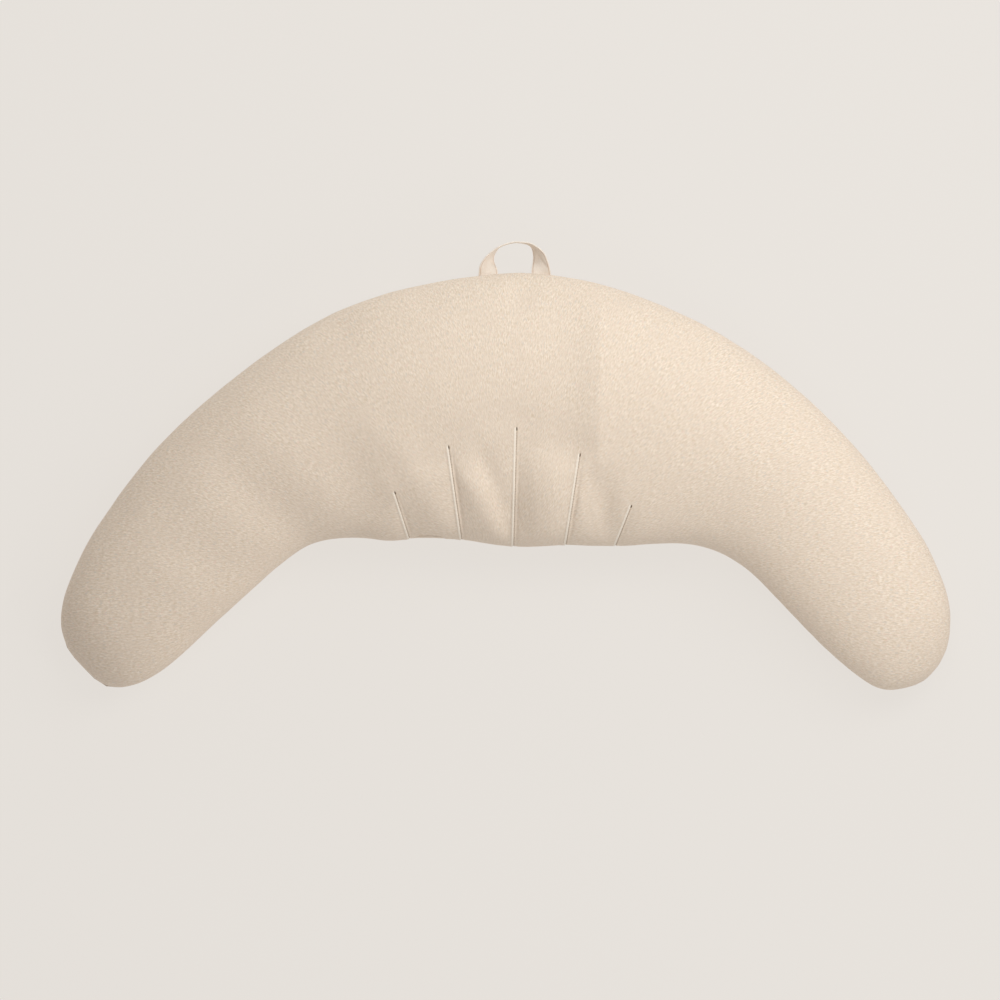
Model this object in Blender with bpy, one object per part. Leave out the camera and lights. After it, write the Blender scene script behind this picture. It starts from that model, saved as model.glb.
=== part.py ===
"""A crescent-shaped pregnancy pillow with a carry loop, lying on its back.

Units are metres and +Z is up. +X runs along the pillow's length from arm tip to arm tip, +Y points
from the bay between the arms to the long outer edge, and the underside lies on z = 0. The origin is
the middle of the pillow's bounding box, at the bottom.

The pillow is one filled cushion. Its front and back panels meet in a seam that runs round the
crescent's edge, and five darts draw the inner edge in. The carry loop is a cotton tape whose two ends
are sewn into the seam at the middle of the outer edge.
"""
import math
from collections import namedtuple

import bmesh
import bpy
from mathutils import Matrix, Vector

MM = 0.001

# Filled cushion, in millimetres
SEAM_SHARE = 0.46          # height of the seam, as a share of the crown's height
SEAM_DEPTH = 5.0           # how far the stitching draws the seam in behind the cloth beside it
SEAM_DEPTH_LIMIT = 0.4     # and no more than this share of a narrow section's half width
SEAM_LIP = 6.0             # height of the rolled cloth above and below the seam line
CROWN_FULLNESS = 0.86      # power of the section's curve: 1 is an ellipse, less is squarer
UNDERSIDE_REACH = 1.22     # how far the underside would sag below the seam if no floor pressed it flat
TIP_ROUNDING = 82.0        # length over which an arm's tip rounds down to its point
SECTION_PITCH = 19.0       # spacing of the lofted sections along the arms
TOP_STEPS = 20             # steps across the front panel in each section
UNDER_STEPS = 14           # steps across the back panel in each section
SHARP_CREASE = 50.0        # degrees between faces from which the seam and the darts stay crisp

# Sections of the crescent, in millimetres from the middle: where each meets the outer and the inner
# edge, and the crown's height above the floor. The five dart sections run along their darts.
Section = namedtuple("Section", "name outer_x outer_y inner_x inner_y crown")
SECTIONS = (
    Section("left_tip", -568, -271, -568, -271, 112),
    Section("left_toe", -591, -242, -537, -296, 114),
    Section("left_ball", -599, -219, -510, -298, 117),
    Section("left_instep", -599, -194, -481, -289, 121),
    Section("left_ankle", -594, -170, -443, -263, 126),
    Section("left_calf", -580, -134, -402, -224, 135),
    Section("left_shin", -555, -86, -359, -185, 142),
    Section("left_knee", -467, 31, -288, -123, 154),
    Section("left_thigh", -355, 130, -238, -100, 166),
    Section("dart_1", -227, 211, -128, -97, 179),
    Section("dart_2", -107, 246, -58, -100, 187),
    Section("dart_3", 20, 261, 11, -109, 190),
    Section("dart_4", 135, 244, 81, -107, 188),
    Section("dart_5", 261, 194, 147, -108, 180),
    Section("right_thigh", 370, 123, 248, -105, 166),
    Section("right_knee", 467, 31, 315, -132, 152),
    Section("right_shin", 555, -85, 387, -202, 139),
    Section("right_calf", 583, -139, 427, -243, 132),
    Section("right_ankle", 597, -181, 459, -271, 124),
    Section("right_instep", 599, -211, 489, -293, 119),
    Section("right_ball", 595, -242, 512, -301, 115),
    Section("right_toe", 583, -267, 539, -298, 113),
    Section("right_tip", 563, -288, 563, -288, 112),
)

# Darts, in millimetres: length up from the inner edge, and how deep each dishes the cloth beside it
Dart = namedtuple("Dart", "section length dish")
DARTS = (
    Dart("dart_1", 66, 5.0),
    Dart("dart_2", 129, 7.0),
    Dart("dart_3", 161, 8.0),
    Dart("dart_4", 126, 7.0),
    Dart("dart_5", 61, 5.0),
)
DART_REACH = 34.0          # how far to each side a dart dishes the cloth
DART_LEAN = 0.6            # power that brings the dish's deepest place nearer to the inner edge
DART_GROOVE_HALF = 2.8     # half the width of the groove that its stitching pulls
DART_GROOVE_DEPTH = 3.6
DART_FADE = 6.0            # the groove runs out over one part in so many of the dart's length
DART_OFFSETS = (3.0, 8.0, 17.0, 28.0)   # distances from a dart at which sections are lofted
PULL_TO_MIDDLE = 0.5       # darts pull the cloth towards a place this share of the way across

# Main folds of the front panel, in millimetres: each runs from one point to another, with its half
# width and its height. A trough has a negative height.
Fold = namedtuple("Fold", "name from_x from_y to_x to_y half_width height")
FOLDS = (
    Fold("crease_right_of_middle", 122, 226, 116, 30, 40, 3.0),
    Fold("puff_before_dart_2", -150, 35, -88, -82, 30, 5.0),
    Fold("puff_after_dart_2", -58, 14, -16, -94, 24, 6.0),
    Fold("trough_before_dart_3", -22, 34, 6, -78, 20, -4.0),
    Fold("puff_before_dart_4", 58, 0, 56, -92, 34, 4.5),
    Fold("puff_after_dart_4", 106, -8, 100, -90, 20, 3.0),
    Fold("trough_before_dart_5", 138, -24, 132, -96, 16, -5.0),
    Fold("trough_after_thigh", -240, 62, -176, -54, 36, -3.0),
    Fold("ridge_over_thigh", -352, 74, -232, -64, 42, 4.0),
    Fold("trough_over_knee", -388, 18, -276, -88, 34, -3.5),
    Fold("ridge_over_knee", -428, -16, -326, -112, 38, 4.0),
    Fold("trough_over_shin", -436, -104, -372, -152, 26, -3.0),
    Fold("ridge_over_shin", -468, -134, -396, -184, 28, 3.0),
)

# Carry loop, in millimetres: a cotton tape, flat where it leaves the seam and on edge at the top of
# the loop. Each row is a point on its middle line, with how far it has turned on edge, in degrees.
TAPE_WIDTH = 26.0
TAPE_THICKNESS = 2.0
TAPE_SAG = 6.0             # how far the top of the loop hangs below the seam
TAPE_STEP = 4.0            # spacing of the sections along the tape
TAPE_SIGHT = 1.0           # distance each way along the tape at which its direction is read
TAPE_SHARP = 40.0          # degrees between faces from which the tape's edges stay crisp
LEFT_LEG_X = -23.0
RIGHT_LEG_X = 48.0
SEAT_GAP = 1.15            # from the bottom of the seam's crease to the tape's end, 0.4 off its sides
TapePoint = namedtuple("TapePoint", "x y turn")
TAPE_PATH = (
    TapePoint(-23.5, 269, 30),
    TapePoint(-22.5, 276, 52),
    TapePoint(-19, 284, 68),
    TapePoint(-12, 293, 78),
    TapePoint(-1, 299, 86),
    TapePoint(14, 302, 90),
    TapePoint(28, 299.5, 80),
    TapePoint(39, 294, 64),
    TapePoint(45, 286, 51),
    TapePoint(48, 277, 34),
    TapePoint(48.5, 269, 20),
)

JERSEY_COLOUR = (0.70, 0.65, 0.58, 1.0)
TAPE_COLOUR = (0.74, 0.68, 0.61, 1.0)


def remove_old_objects():
    for old in list(bpy.data.objects):
        bpy.data.objects.remove(old, do_unlink=True)


def fabric_material(name, colour):
    material = bpy.data.materials.new(name)
    material.use_nodes = True
    shader = material.node_tree.nodes["Principled BSDF"]
    shader.inputs["Base Color"].default_value = colour
    shader.inputs["Roughness"].default_value = 0.95
    shader.inputs["Metallic"].default_value = 0.0
    return material


def smooth_step(share):
    share = min(max(share, 0.0), 1.0)
    return share * share * (3.0 - 2.0 * share)


def curve_through(rows, stations, at):
    """A smooth curve through rows of numbers, each at its station, read at one place."""
    last = len(rows) - 1
    first = 0
    while first < last - 1 and stations[first + 1] <= at:
        first += 1
    span = stations[first + 1] - stations[first]
    share = (at - stations[first]) / span

    def slope(index):
        before, after = max(index - 1, 0), min(index + 1, last)
        run = stations[after] - stations[before]
        return [(b - a) / run * span for a, b in zip(rows[before], rows[after])]

    weights = (
        (1 + 2 * share) * (1 - share) ** 2,
        share * (1 - share) ** 2,
        share * share * (3 - 2 * share),
        share * share * (share - 1),
    )
    parts = (rows[first], slope(first), rows[first + 1], slope(first + 1))
    return [sum(w * v for w, v in zip(weights, column)) for column in zip(*parts)]


def edge_travel():
    """How far along the edge each section lies: the mean run of the outer and the inner edge."""
    travelled = [0.0]
    for a, b in zip(SECTIONS, SECTIONS[1:]):
        outer = math.hypot(b.outer_x - a.outer_x, b.outer_y - a.outer_y)
        inner = math.hypot(b.inner_x - a.inner_x, b.inner_y - a.inner_y)
        travelled.append(travelled[-1] + (outer + inner) / 2)
    return travelled


def loft_stations(travelled):
    """Where sections are lofted: at every row of the table, close beside the darts, even elsewhere."""
    darted = {dart.section for dart in DARTS}
    stations = [travelled[0]]
    for index, (a, b) in enumerate(zip(SECTIONS, SECTIONS[1:])):
        run = travelled[index + 1] - travelled[index]
        inner_run = math.hypot(b.inner_x - a.inner_x, b.inner_y - a.inner_y)
        beside = [offset / inner_run for offset in DART_OFFSETS]
        after = beside if a.name in darted else [0.0]
        before = beside if b.name in darted else [0.0]
        open_run = 1.0 - after[-1] - before[-1]
        steps = max(1 if b.name in darted else 2, round(open_run * run / SECTION_PITCH))
        shares = after + [after[-1] + open_run * step / steps for step in range(1, steps)]
        shares += [1.0 - share for share in reversed(before)] + [1.0]
        stations += [travelled[index] + run * share for share in shares if share > 0.0]
    return sorted(set(stations))


def past_tip(section):
    """A section with its edges changed over, which carries the outline smoothly round a tip."""
    return section.inner_x, section.inner_y, section.outer_x, section.outer_y, section.crown


class Crescent:
    """The pillow's surface, read section by section."""

    def __init__(self):
        self.travelled = edge_travel()
        self.place = {s.name: t for s, t in zip(SECTIONS, self.travelled)}
        self.tips = [Vector((s.outer_x, s.outer_y)) for s in (SECTIONS[0], SECTIONS[-1])]
        first, last = self.travelled[1], self.travelled[-1] - self.travelled[-2]
        self.rows = [past_tip(SECTIONS[1])] + [tuple(s[1:]) for s in SECTIONS] + [past_tip(SECTIONS[-2])]
        self.stations = [-first] + self.travelled + [self.travelled[-1] + last]

    def section(self, at):
        outer_x, outer_y, inner_x, inner_y, crown = curve_through(self.rows, self.stations, at)
        return Vector((outer_x, outer_y)), Vector((inner_x, inner_y)), crown

    def tip_share(self, middle):
        """How much of its full height a section keeps: a quarter round over the length of a tip."""
        from_tip = min((middle - tip).length for tip in self.tips)
        short = 1.0 - min(from_tip / TIP_ROUNDING, 1.0)
        return math.sqrt(max(1.0 - short * short, 0.0))

    def dart_depth(self, at, from_inner):
        """How deep the darts draw the cloth in at a place on a panel."""
        depth = 0.0
        here = self.up_from_inner(at, from_inner)
        for dart in DARTS:
            along = from_inner / dart.length
            if along >= 1.0:
                continue
            aside = (here - self.up_from_inner(self.place[dart.section], from_inner)).length
            dish = max(1 - aside / DART_REACH, 0.0) ** 2
            groove = max(1 - aside / DART_GROOVE_HALF, 0.0)
            depth += dart.dish * math.sin(math.pi * along ** DART_LEAN) * dish
            depth += DART_GROOVE_DEPTH * smooth_step(DART_FADE * (1 - along)) * groove
        return depth

    def up_from_inner(self, at, distance):
        """The place on the plan that lies so far up a section from the inner edge."""
        outer, inner, _ = self.section(at)
        return inner + (outer - inner).normalized() * distance

    def ring(self, at):
        """One closed section: seam, front panel, seam, back panel."""
        outer, inner, crown = self.section(at)
        middle, half = (outer + inner) / 2, (outer - inner) / 2
        share = self.tip_share(middle)
        seam = SEAM_SHARE * crown
        lip = SEAM_LIP * share
        drawn_in = min(SEAM_DEPTH / half.length, SEAM_DEPTH_LIMIT) * share
        rise = (crown - seam) * share
        fall = seam * UNDERSIDE_REACH * share
        width = 2 * half.length

        def point(across, height):
            spot = middle + half * across
            return Vector((spot.x, spot.y, height))

        ring = [point(1 - drawn_in, seam)]
        for panel_steps, reach, side in ((TOP_STEPS, rise, 1), (UNDER_STEPS, fall, -1)):
            for step in range(panel_steps + 1):
                angle = math.pi * step / panel_steps
                across = side * math.cos(angle)
                arch = math.sin(angle) ** CROWN_FULLNESS if 0 < step < panel_steps else 0.0
                place = point(across, seam + side * (lip + (reach - lip) * arch))
                pull = point(across * PULL_TO_MIDDLE, seam) - place
                place += pull.normalized() * self.dart_depth(at, width * (1 + across) / 2)
                if side > 0:
                    place.z += fold_height(place.x, place.y) * smooth_step(arch)
                place.z = max(place.z, 0.0)
                ring.append(place)
            ring.append(point((1 - drawn_in) * -side, seam))
        return ring[:-1]


def fold_height(x, y):
    """How far the folds lift or sink the front panel at a point."""
    height = 0.0
    for fold in FOLDS:
        start = Vector((fold.from_x, fold.from_y))
        run = Vector((fold.to_x, fold.to_y)) - start
        to_point = Vector((x, y)) - start
        along = to_point.dot(run) / run.length_squared
        nearest = start + run * min(max(along, 0.0), 1.0)
        aside = (Vector((x, y)) - nearest).length / fold.half_width
        if aside < 1.0:
            height += fold.height * math.cos(math.pi / 2 * aside) ** 2
    return height


def loft(rings, start_point=None, end_point=None):
    """A closed body through rings of the same number of points, with points or flats at its ends."""
    body = bmesh.new()
    loops = [[body.verts.new(point * MM) for point in ring] for ring in rings]
    count = len(rings[0])
    for loop, following in zip(loops, loops[1:]):
        for i in range(count):
            j = (i + 1) % count
            body.faces.new((loop[i], loop[j], following[j], following[i]))
    for loop, tip, outward in ((loops[0], start_point, -1), (loops[-1], end_point, 1)):
        if tip is None:
            body.faces.new(loop[::outward])
            continue
        pole = body.verts.new(tip * MM)
        for i in range(count):
            j = (i + 1) % count
            body.faces.new((loop[i], loop[j], pole)[::outward])
    bmesh.ops.recalc_face_normals(body, faces=body.faces)
    return body


def add_object(name, body, material, collection, sharp_degrees):
    mesh = bpy.data.meshes.new(name)
    body.to_mesh(mesh)
    body.free()
    mesh.materials.append(material)
    mesh.shade_smooth()
    mesh.set_sharp_from_angle(angle=math.radians(sharp_degrees))
    piece = bpy.data.objects.new(name, mesh)
    collection.objects.link(piece)
    return piece


def pillow_body(crescent):
    """The filled cushion, lofted from ring to ring and closed at the seam's point on each tip."""
    stations = loft_stations(crescent.travelled)
    rings = [crescent.ring(at) for at in stations[1:-1]]
    tips = zip(crescent.tips, (SECTIONS[0], SECTIONS[-1]))
    poles = [Vector((tip.x, tip.y, SEAM_SHARE * end.crown)) for tip, end in tips]
    return loft(rings, poles[0], poles[1])


def seam_seat(crescent, leg_x):
    """Where a leg of the loop is sewn in: just off the bottom of the seam's crease."""
    low, high = crescent.place["dart_1"], crescent.place["dart_5"]
    while high - low > 0.001:
        at = (low + high) / 2
        if crescent.section(at)[0].x < leg_x:
            low = at
        else:
            high = at
    outer, inner, crown = crescent.section(low)
    spot = outer - (outer - inner).normalized() * (SEAM_DEPTH - SEAT_GAP)
    return TapePoint(spot.x, spot.y, 0), SEAM_SHARE * crown


def seat_direction(crescent, x):
    """The way straight out of the seam at a leg of the loop."""
    left = seam_seat(crescent, x - TAPE_WIDTH / 2)[0]
    right = seam_seat(crescent, x + TAPE_WIDTH / 2)[0]
    return Vector((left.y - right.y, right.x - left.x, 0.0)).normalized()


def tape_rings(crescent):
    """Sections across the tape, from where it leaves the seam to where it goes back in."""
    left_seat, seam = seam_seat(crescent, LEFT_LEG_X)
    right_seat, right_seam = seam_seat(crescent, RIGHT_LEG_X)
    path = (left_seat,) + TAPE_PATH + (right_seat,)
    stations = [0.0]
    for a, b in zip(path, path[1:]):
        stations.append(stations[-1] + math.hypot(b.x - a.x, b.y - a.y))
    top_y = max(point.y for point in path)
    steps = round(stations[-1] / TAPE_STEP)
    seam_run = Vector((right_seat.x - left_seat.x, right_seat.y - left_seat.y))
    rings = []
    for step in range(steps + 1):
        at = stations[-1] * step / steps
        x, y, turn = curve_through(path, stations, at)
        ahead = curve_through(path, stations, min(at + TAPE_SIGHT, stations[-1]))
        behind = curve_through(path, stations, max(at - TAPE_SIGHT, 0.0))
        run = Vector((ahead[0] - behind[0], ahead[1] - behind[1], 0.0)).normalized()
        if step in (0, steps):
            run = seat_direction(crescent, x) * (1 if step == 0 else -1)
        aside = Vector((-run.y, run.x, 0.0))
        angle = math.radians(turn)
        across = aside * math.cos(angle) + Vector((0.0, 0.0, math.sin(angle)))
        face = run.cross(across)
        out = (y - left_seat.y) / (top_y - left_seat.y)
        base = seam + (right_seam - seam) * (x - left_seat.x) / seam_run.length
        middle = Vector((x, y, base - TAPE_SAG * smooth_step(out)))
        half_width, half_thickness = across * TAPE_WIDTH / 2, face * TAPE_THICKNESS / 2
        corners = ((1, 1), (1, -1), (-1, -1), (-1, 1))
        rings.append([middle + half_width * i + half_thickness * j for i, j in corners])
    return rings


def centre_on_floor(pieces):
    """Moves the meshes so that their box stands on z = 0 with its middle over the origin."""
    points = [vertex.co for piece in pieces for vertex in piece.data.vertices]
    low, high = (Vector([pick(p[i] for p in points) for i in range(3)]) for pick in (min, max))
    shift = Vector((-(low.x + high.x) / 2, -(low.y + high.y) / 2, -low.z))
    for piece in pieces:
        piece.data.transform(Matrix.Translation(shift))


def main():
    remove_old_objects()
    collection = bpy.data.collections.new("pregnancy_pillow")
    bpy.context.scene.collection.children.link(collection)
    crescent = Crescent()
    jersey = fabric_material("melange_jersey", JERSEY_COLOUR)
    cotton = fabric_material("cotton_tape", TAPE_COLOUR)
    pillow = add_object("pillow_body", pillow_body(crescent), jersey, collection, SHARP_CREASE)
    loop = add_object("carry_loop", loft(tape_rings(crescent)), cotton, collection, TAPE_SHARP)
    centre_on_floor((pillow, loop))


main()
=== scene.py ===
"""The looks of a crescent pregnancy pillow: its jersey cushion with darts, and its tape carry loop."""
import math
from collections import namedtuple

import bmesh
import bpy
from mathutils import Matrix, Vector, noise
from mathutils.kdtree import KDTree


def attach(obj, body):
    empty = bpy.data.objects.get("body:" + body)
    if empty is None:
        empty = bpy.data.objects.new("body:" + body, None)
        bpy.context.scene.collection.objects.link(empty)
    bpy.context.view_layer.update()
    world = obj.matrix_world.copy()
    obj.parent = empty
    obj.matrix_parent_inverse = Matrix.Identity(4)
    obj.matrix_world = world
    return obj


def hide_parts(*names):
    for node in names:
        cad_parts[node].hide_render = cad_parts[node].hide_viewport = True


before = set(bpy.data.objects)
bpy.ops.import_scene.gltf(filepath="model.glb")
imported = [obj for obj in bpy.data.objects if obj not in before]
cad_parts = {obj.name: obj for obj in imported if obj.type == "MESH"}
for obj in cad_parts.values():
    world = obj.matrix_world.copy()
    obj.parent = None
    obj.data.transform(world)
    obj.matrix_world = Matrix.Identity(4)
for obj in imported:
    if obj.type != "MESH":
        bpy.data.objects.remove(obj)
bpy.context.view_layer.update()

MM = 0.001

# The camera looks straight down on the pillow from far off, with so many metres across the picture
PICTURE_SPAN = 1.342
PICTURE_MIDDLE = (-0.0071, -0.0459)
CAMERA_HEIGHT = 12.0
OUTLINE_HEIGHT = 0.09           # where the pillow is widest, and the picture's span is measured

# Cushion
MERGE = 0.02 * MM
POLE_EDGES = 30                 # a vertex with so many edges is the pole at an arm's tip
TIP_REACH = 45.0                # millimetres round a pole where the seam keeps its level
TIP_LEVEL = 1.3
CONCAVE_CREASE = 30.0           # degrees: a level fold inward by more than this is the seam
SEAM_LOWEST = 46.0              # millimetres: heights between which the seam runs
SEAM_HIGHEST = 92.0
SEAM_STEP = 2.2                 # how much it rises or falls along one edge of the cage
SEAM_BRIDGE = 4.5               # the crease may be too shallow to find over this length
ON_DART = 1.0
PRESSURE = 3.0
SIM_FRAMES = 20
MOST_MOVEMENT = 7.0 * MM
HELD_BY_STITCHES = 6.0 * MM     # cloth this close to the seam or a dart doesn't move
FREE_OF_STITCHES = 32.0 * MM
FLAT_ON_FLOOR = 0.5 * MM
CALM_REACH = 22.0 * MM          # away from the darts the cloth swells evenly over this distance
WRINKLED_BY_DART = 30.0         # millimetres beside a dart and past its head where it may wrinkle
CALM_FROM_DART = 60.0

# Darts, in millimetres: where each one's stitching starts at the inner edge and where it ends
Dart = namedtuple("Dart", "name foot_x foot_y head_x head_y")
DARTS = (
    Dart("dart_1", -128.0, -98.0, -147.8, -34.7),
    Dart("dart_2", -58.0, -101.0, -75.8, 26.6),
    Dart("dart_3", 11.0, -110.0, 15.1, 51.3),
    Dart("dart_4", 81.0, -108.0, 99.7, 16.4),
    Dart("dart_5", 147.0, -109.0, 168.6, -52.4),
)
STRIP_HALF = 8.5                # how far each side of the stitching the cloth's mesh is made finer
STRIP_CUTS = 6
STRIP_PAST_HEAD = 9.0
STRIP_ALONG = 0.4               # an edge runs along a dart if it goes aside by no more than this share
SHOULDER_FROM = 5.4             # the cloth beside a dart is drawn level with its shoulders out here
LEVEL_TO = {-1: 2.8, 1: 0.8}    # and quite level out to here, on its left and its right
CLOSED_ABOVE = 3.0              # the darts are closed from this height above the floor
CLOSED_FADE = 9.0
NEAREST_POINTS = 4
NEAREST_SOFTENED = 0.5          # keeps one near point from outweighing the others
TUCK_PLACE = -1.75              # the pressed tuck lies to the left of the stitching
TUCK_SLOPE = 4.0                # it rises slowly on its left and falls sharply into the slit
TUCK_HALF = 1.35
TUCK_RISE = 0.5
SLIT_HALF = 0.6
SLIT_DEPTH = 1.7
BEAD_PITCH = 5.4
BEAD_SHARE = 0.22
DART_FADE = 5.0                 # the tuck runs out over this length at the head
STITCH_DASH = 3.6               # pitch of the dart's stitches
PIT_BELOW = 2.6                 # the pit at a dart's head, from its end
PIT_LONG = 3.0
PIT_WIDE = 1.0
PIT_DEPTH = 1.3
FAR_ASIDE = 100.0               # for cloth that lies beside no dart

# Painted light and shade at the stitching: places and widths in millimetres, and how strongly each line shows
PAINT_START_BELOW_HEAD = 1.5           # below the dart's head
TUCK_HIGHLIGHT_HALF = 1.1
TUCK_HIGHLIGHT_SOFT = 0.4
TUCK_HIGHLIGHT_SHARE = 0.8
# painted shade in the slit of each dart
SLIT_SHADE_PLACE = 0.1
SLIT_SHADE_HALF = 0.1
SLIT_SHADE_SOFT = 0.7
SLIT_SHADE_SHARE = 0.8
# the slit's painted shade comes and goes in dashes between these values
DASH_PALEST = -1.6              # on a wave from -1 to 1 along the dart, so the slit never fades out
DASH_DARKEST = 0.7
PIT_LINE_PLACE = 0.25
PIT_EDGE = 1.0                  # in shares of the pit's size
PIT_CORE = 0.35
# painted shade line in the crease along the seam
SEAM_SHADE_EDGE = 1.6
SEAM_SHADE_CORE = 0.4
SEAM_SHADE_SHARE = 0.75
# painted highlight on the side of each tuck that faces the light
TUCK_PAINTED_HIGHLIGHT = (0.960, 0.870, 0.760, 1.0)
# painted shade in the slit
SLIT_PAINTED_SHADE = (0.330, 0.245, 0.180, 1.0)
PIT_SHADE = (0.130, 0.080, 0.045, 1.0)
SEAM_SHADE = (0.380, 0.280, 0.205, 1.0)

# Soft folds pressed by the darts, in millimetres: from one end of the crest or trough to the other,
# the reach of its left and right flanks, and how far it rises
Fold = namedtuple("Fold", "name from_x from_y to_x to_y left right rise")
FOLDS = (
    Fold("left_of_dart_1", -178, 47, -140, -74, 30, 14, 2.2),
    Fold("flatten_below_dart_2_head", -62, 22, -50, -4, 12, 14, -2.2),
    Fold("fill_at_dart_2", -70, -16, -56, -101, 90, 22, 4.5),
    Fold("ridge_left_of_dart_3", -52, -26, -14, -101, 20, 11, 1.3),
    Fold("ridge_above_dart_2", -24, 40, -8, 0, 12, 40, 2.0),
    Fold("trough_left_of_dart_3", -30, 3, 3, -75, 12, 14, -3.8),
    Fold("ridge_right_of_dart_3", 40, 0, 47, -104, 18, 100, 3.6),
    Fold("wrinkle_at_foot_3", 9, -77, 26, -112, 7, 8, 2.2),
    Fold("fill_at_dart_4", 95, -18, 82, -108, 38, 16, 5.5),
    Fold("trough_left_of_dart_5", 120, -26, 135, -90, 26, 18, -6.5),
)
FOLD_FADE = 30.0

# One longer crease: the cloth dips to its left and ends at it
CREASE_FROM = (127.0, 215.0)
CREASE_TO = (123.0, 14.0)
CREASE_DROP = 60.0              # the dip is deepest so far to the left
CREASE_RECOVERY = 200.0         # and is gone so much further on
CREASE_DEPTH = 7.5
CREASE_FADE = 60.0

# The left arm's wrinkles are softened past this place, and small lumps of filling show all over
ARM_FROM_X = -150.0
ARM_FADE = 60.0
ARM_PASSES = 20
LUMP_SIZE = 32.0
LUMP_RISE = 0.35

# The inner edge bulges a little beside the first dart
BULGE_X = -155.0
BULGE_REACH = 30.0
BULGE_OUT = 4.0

# Seam, in millimetres: its puckers, and where the back panel's edge shows below the front panel
PUCKER_REACH = 13.0
PUCKER_PITCH = 17.0
PUCKER_RISE = 0.5
SHOWN_FROM_X = -126.0
SHOWN_TO_X = -80.0
SHOWN_FADE = 12.0
SHOWN_BACK = 8.5                # how far the front panel is drawn back there
SHOWN_LOW = 9.0                 # above the seam by so much it is drawn back most
SHOWN_UP = 38.0                 # and how far up the panel that reaches
# how far from the seam its distance is kept, for the painted shade line in its crease
SEAM_SHADE_REACH = 9.0

# Grain of the jersey: its wales fan out from a point so far below the pillow's middle, in metres
FAN_RADIUS = 1.1
GRAIN_ROUNDS = 20               # of evening out each panel laid flat
BACK_PANEL_SHIFT = 2.0

# Flecks of yarn: how many to a metre across and along the grain, where their pattern starts, its
# detail, between which of its values they fade in, how strongly they show, and their colour
Fleck = namedtuple("Fleck", "name across along start detail low high most colour")
JERSEY_GROUND = (0.930, 0.795, 0.670, 1.0)
JERSEY_FLECKS = (
    Fleck("darker yarn", 520.0, 120.0, (3.1, 7.7), 2.0, 0.35, 0.65, 0.50, (0.720, 0.590, 0.470, 1.0)),
    Fleck("fine yarn", 880.0, 220.0, (7.9, 3.3), 1.0, 0.30, 0.70, 0.50, (0.650, 0.520, 0.385, 1.0)),
    Fleck("pale yarn", 760.0, 180.0, (19.1, 31.7), 1.0, 0.50, 0.76, 0.50, (1.0, 0.895, 0.800, 1.0)),
    Fleck("beige", 600.0, 150.0, (11.3, 2.9), 1.0, 0.55, 0.75, 0.55, (0.690, 0.540, 0.370, 1.0)),
    Fleck("rose", 440.0, 170.0, (5.9, 41.3), 1.0, 0.62, 0.78, 0.50, (0.830, 0.600, 0.505, 1.0)),
    Fleck("grey", 540.0, 140.0, (23.7, 17.1), 1.0, 0.60, 0.76, 0.50, (0.650, 0.600, 0.550, 1.0)),
    Fleck("cloudy", 38.0, 22.0, (1.7, 9.2), 2.0, 0.35, 0.70, 0.30, (0.792, 0.660, 0.545, 1.0)),
)

# Carry loop, in millimetres: points on the tape's middle line, and how far it has turned on edge
TAPE_WIDTH = 26.0
TAPE_THICKNESS = 1.8
TAPE_HEIGHT = 87.4              # of the seam that holds its ends
TAPE_SAG = 6.0
TAPE_ACROSS = 26                # faces across and along the tape
TAPE_ALONG = 110
TAPE_SIGHT = 1.0
HEM_WIDTH = 2.0                 # from the tape's edge to its line of stitches
HEM_FADE = 3.0                  # past which only two layers are left
MIDDLE_SHARE = 0.8              # of the hem's thickness
STITCH_GROOVE_HALF = 0.7
STITCH_GROOVE_SHARE = 0.42
TapePoint = namedtuple("TapePoint", "x y turn")
TAPE_PATH = (
    TapePoint(-23.1, 253.9, 0),
    TapePoint(-22.9, 259.5, 8),
    TapePoint(-23.5, 267.5, 31),
    TapePoint(-21.8, 277.0, 59),
    TapePoint(-17.0, 286.0, 78),
    TapePoint(-12.4, 290.8, 86),
    TapePoint(-7.5, 294.3, 90),
    TapePoint(1.6, 297.9, 90),
    TapePoint(14.0, 300.2, 90),
    TapePoint(27.0, 299.2, 88),
    TapePoint(34.5, 297.2, 82),
    TapePoint(39.8, 293.2, 71),
    TapePoint(44.0, 287.0, 57),
    TapePoint(46.8, 280.0, 44),
    TapePoint(48.0, 271.0, 29),
    TapePoint(48.0, 262.7, 10),
    TapePoint(48.1, 255.4, 0),
)

# Soft dents in the tape, in millimetres: along it from its left end and across it from its middle
Dent = namedtuple("Dent", "name from_along from_across to_along to_across half_width depth")
DENTS = (
    Dent("left_hollow", 14, -4, 34, 5, 7, 0.9),
    Dent("left_bend", 38, -10, 46, 2, 5, 0.7),
    Dent("left_edge", 6, 12, 28, 12, 9, 0.6),
    Dent("right_edge", 98, 12, 128, 12, 9, 2.4),
    Dent("right_crease", 107, -4, 122, 7, 2.6, -1.5),
)

STITCH_LENGTH = 2.9
STITCH_PITCH = 3.7
STITCH_THICK = 0.5
STITCH_SUNK = 0.45              # its middle lies at this share of the tape's half thickness
# painted shade along the groove of each line of stitches on the tape
HEM_SHADE_HALF = 0.20
HEM_SHADE_SOFT = 0.45
HEM_SHADE_SHARE = 0.65
HEM_SHADE = (0.470, 0.300, 0.195, 1.0)
TAPE_GROUND = (0.900, 0.820, 0.735, 1.0)
TAPE_FLECKS = (
    Fleck("threads", 900.0, 300.0, (3.1, 7.7), 2.0, 0.35, 0.70, 0.50, (0.800, 0.700, 0.610, 1.0)),
    Fleck("patches", 150.0, 120.0, (8.4, 1.9), 2.0, 0.45, 0.75, 0.40, (0.820, 0.690, 0.590, 1.0)),
)
WEAVE_SCALE = 280.0
WEAVE_UNEVEN = 0.6

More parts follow.
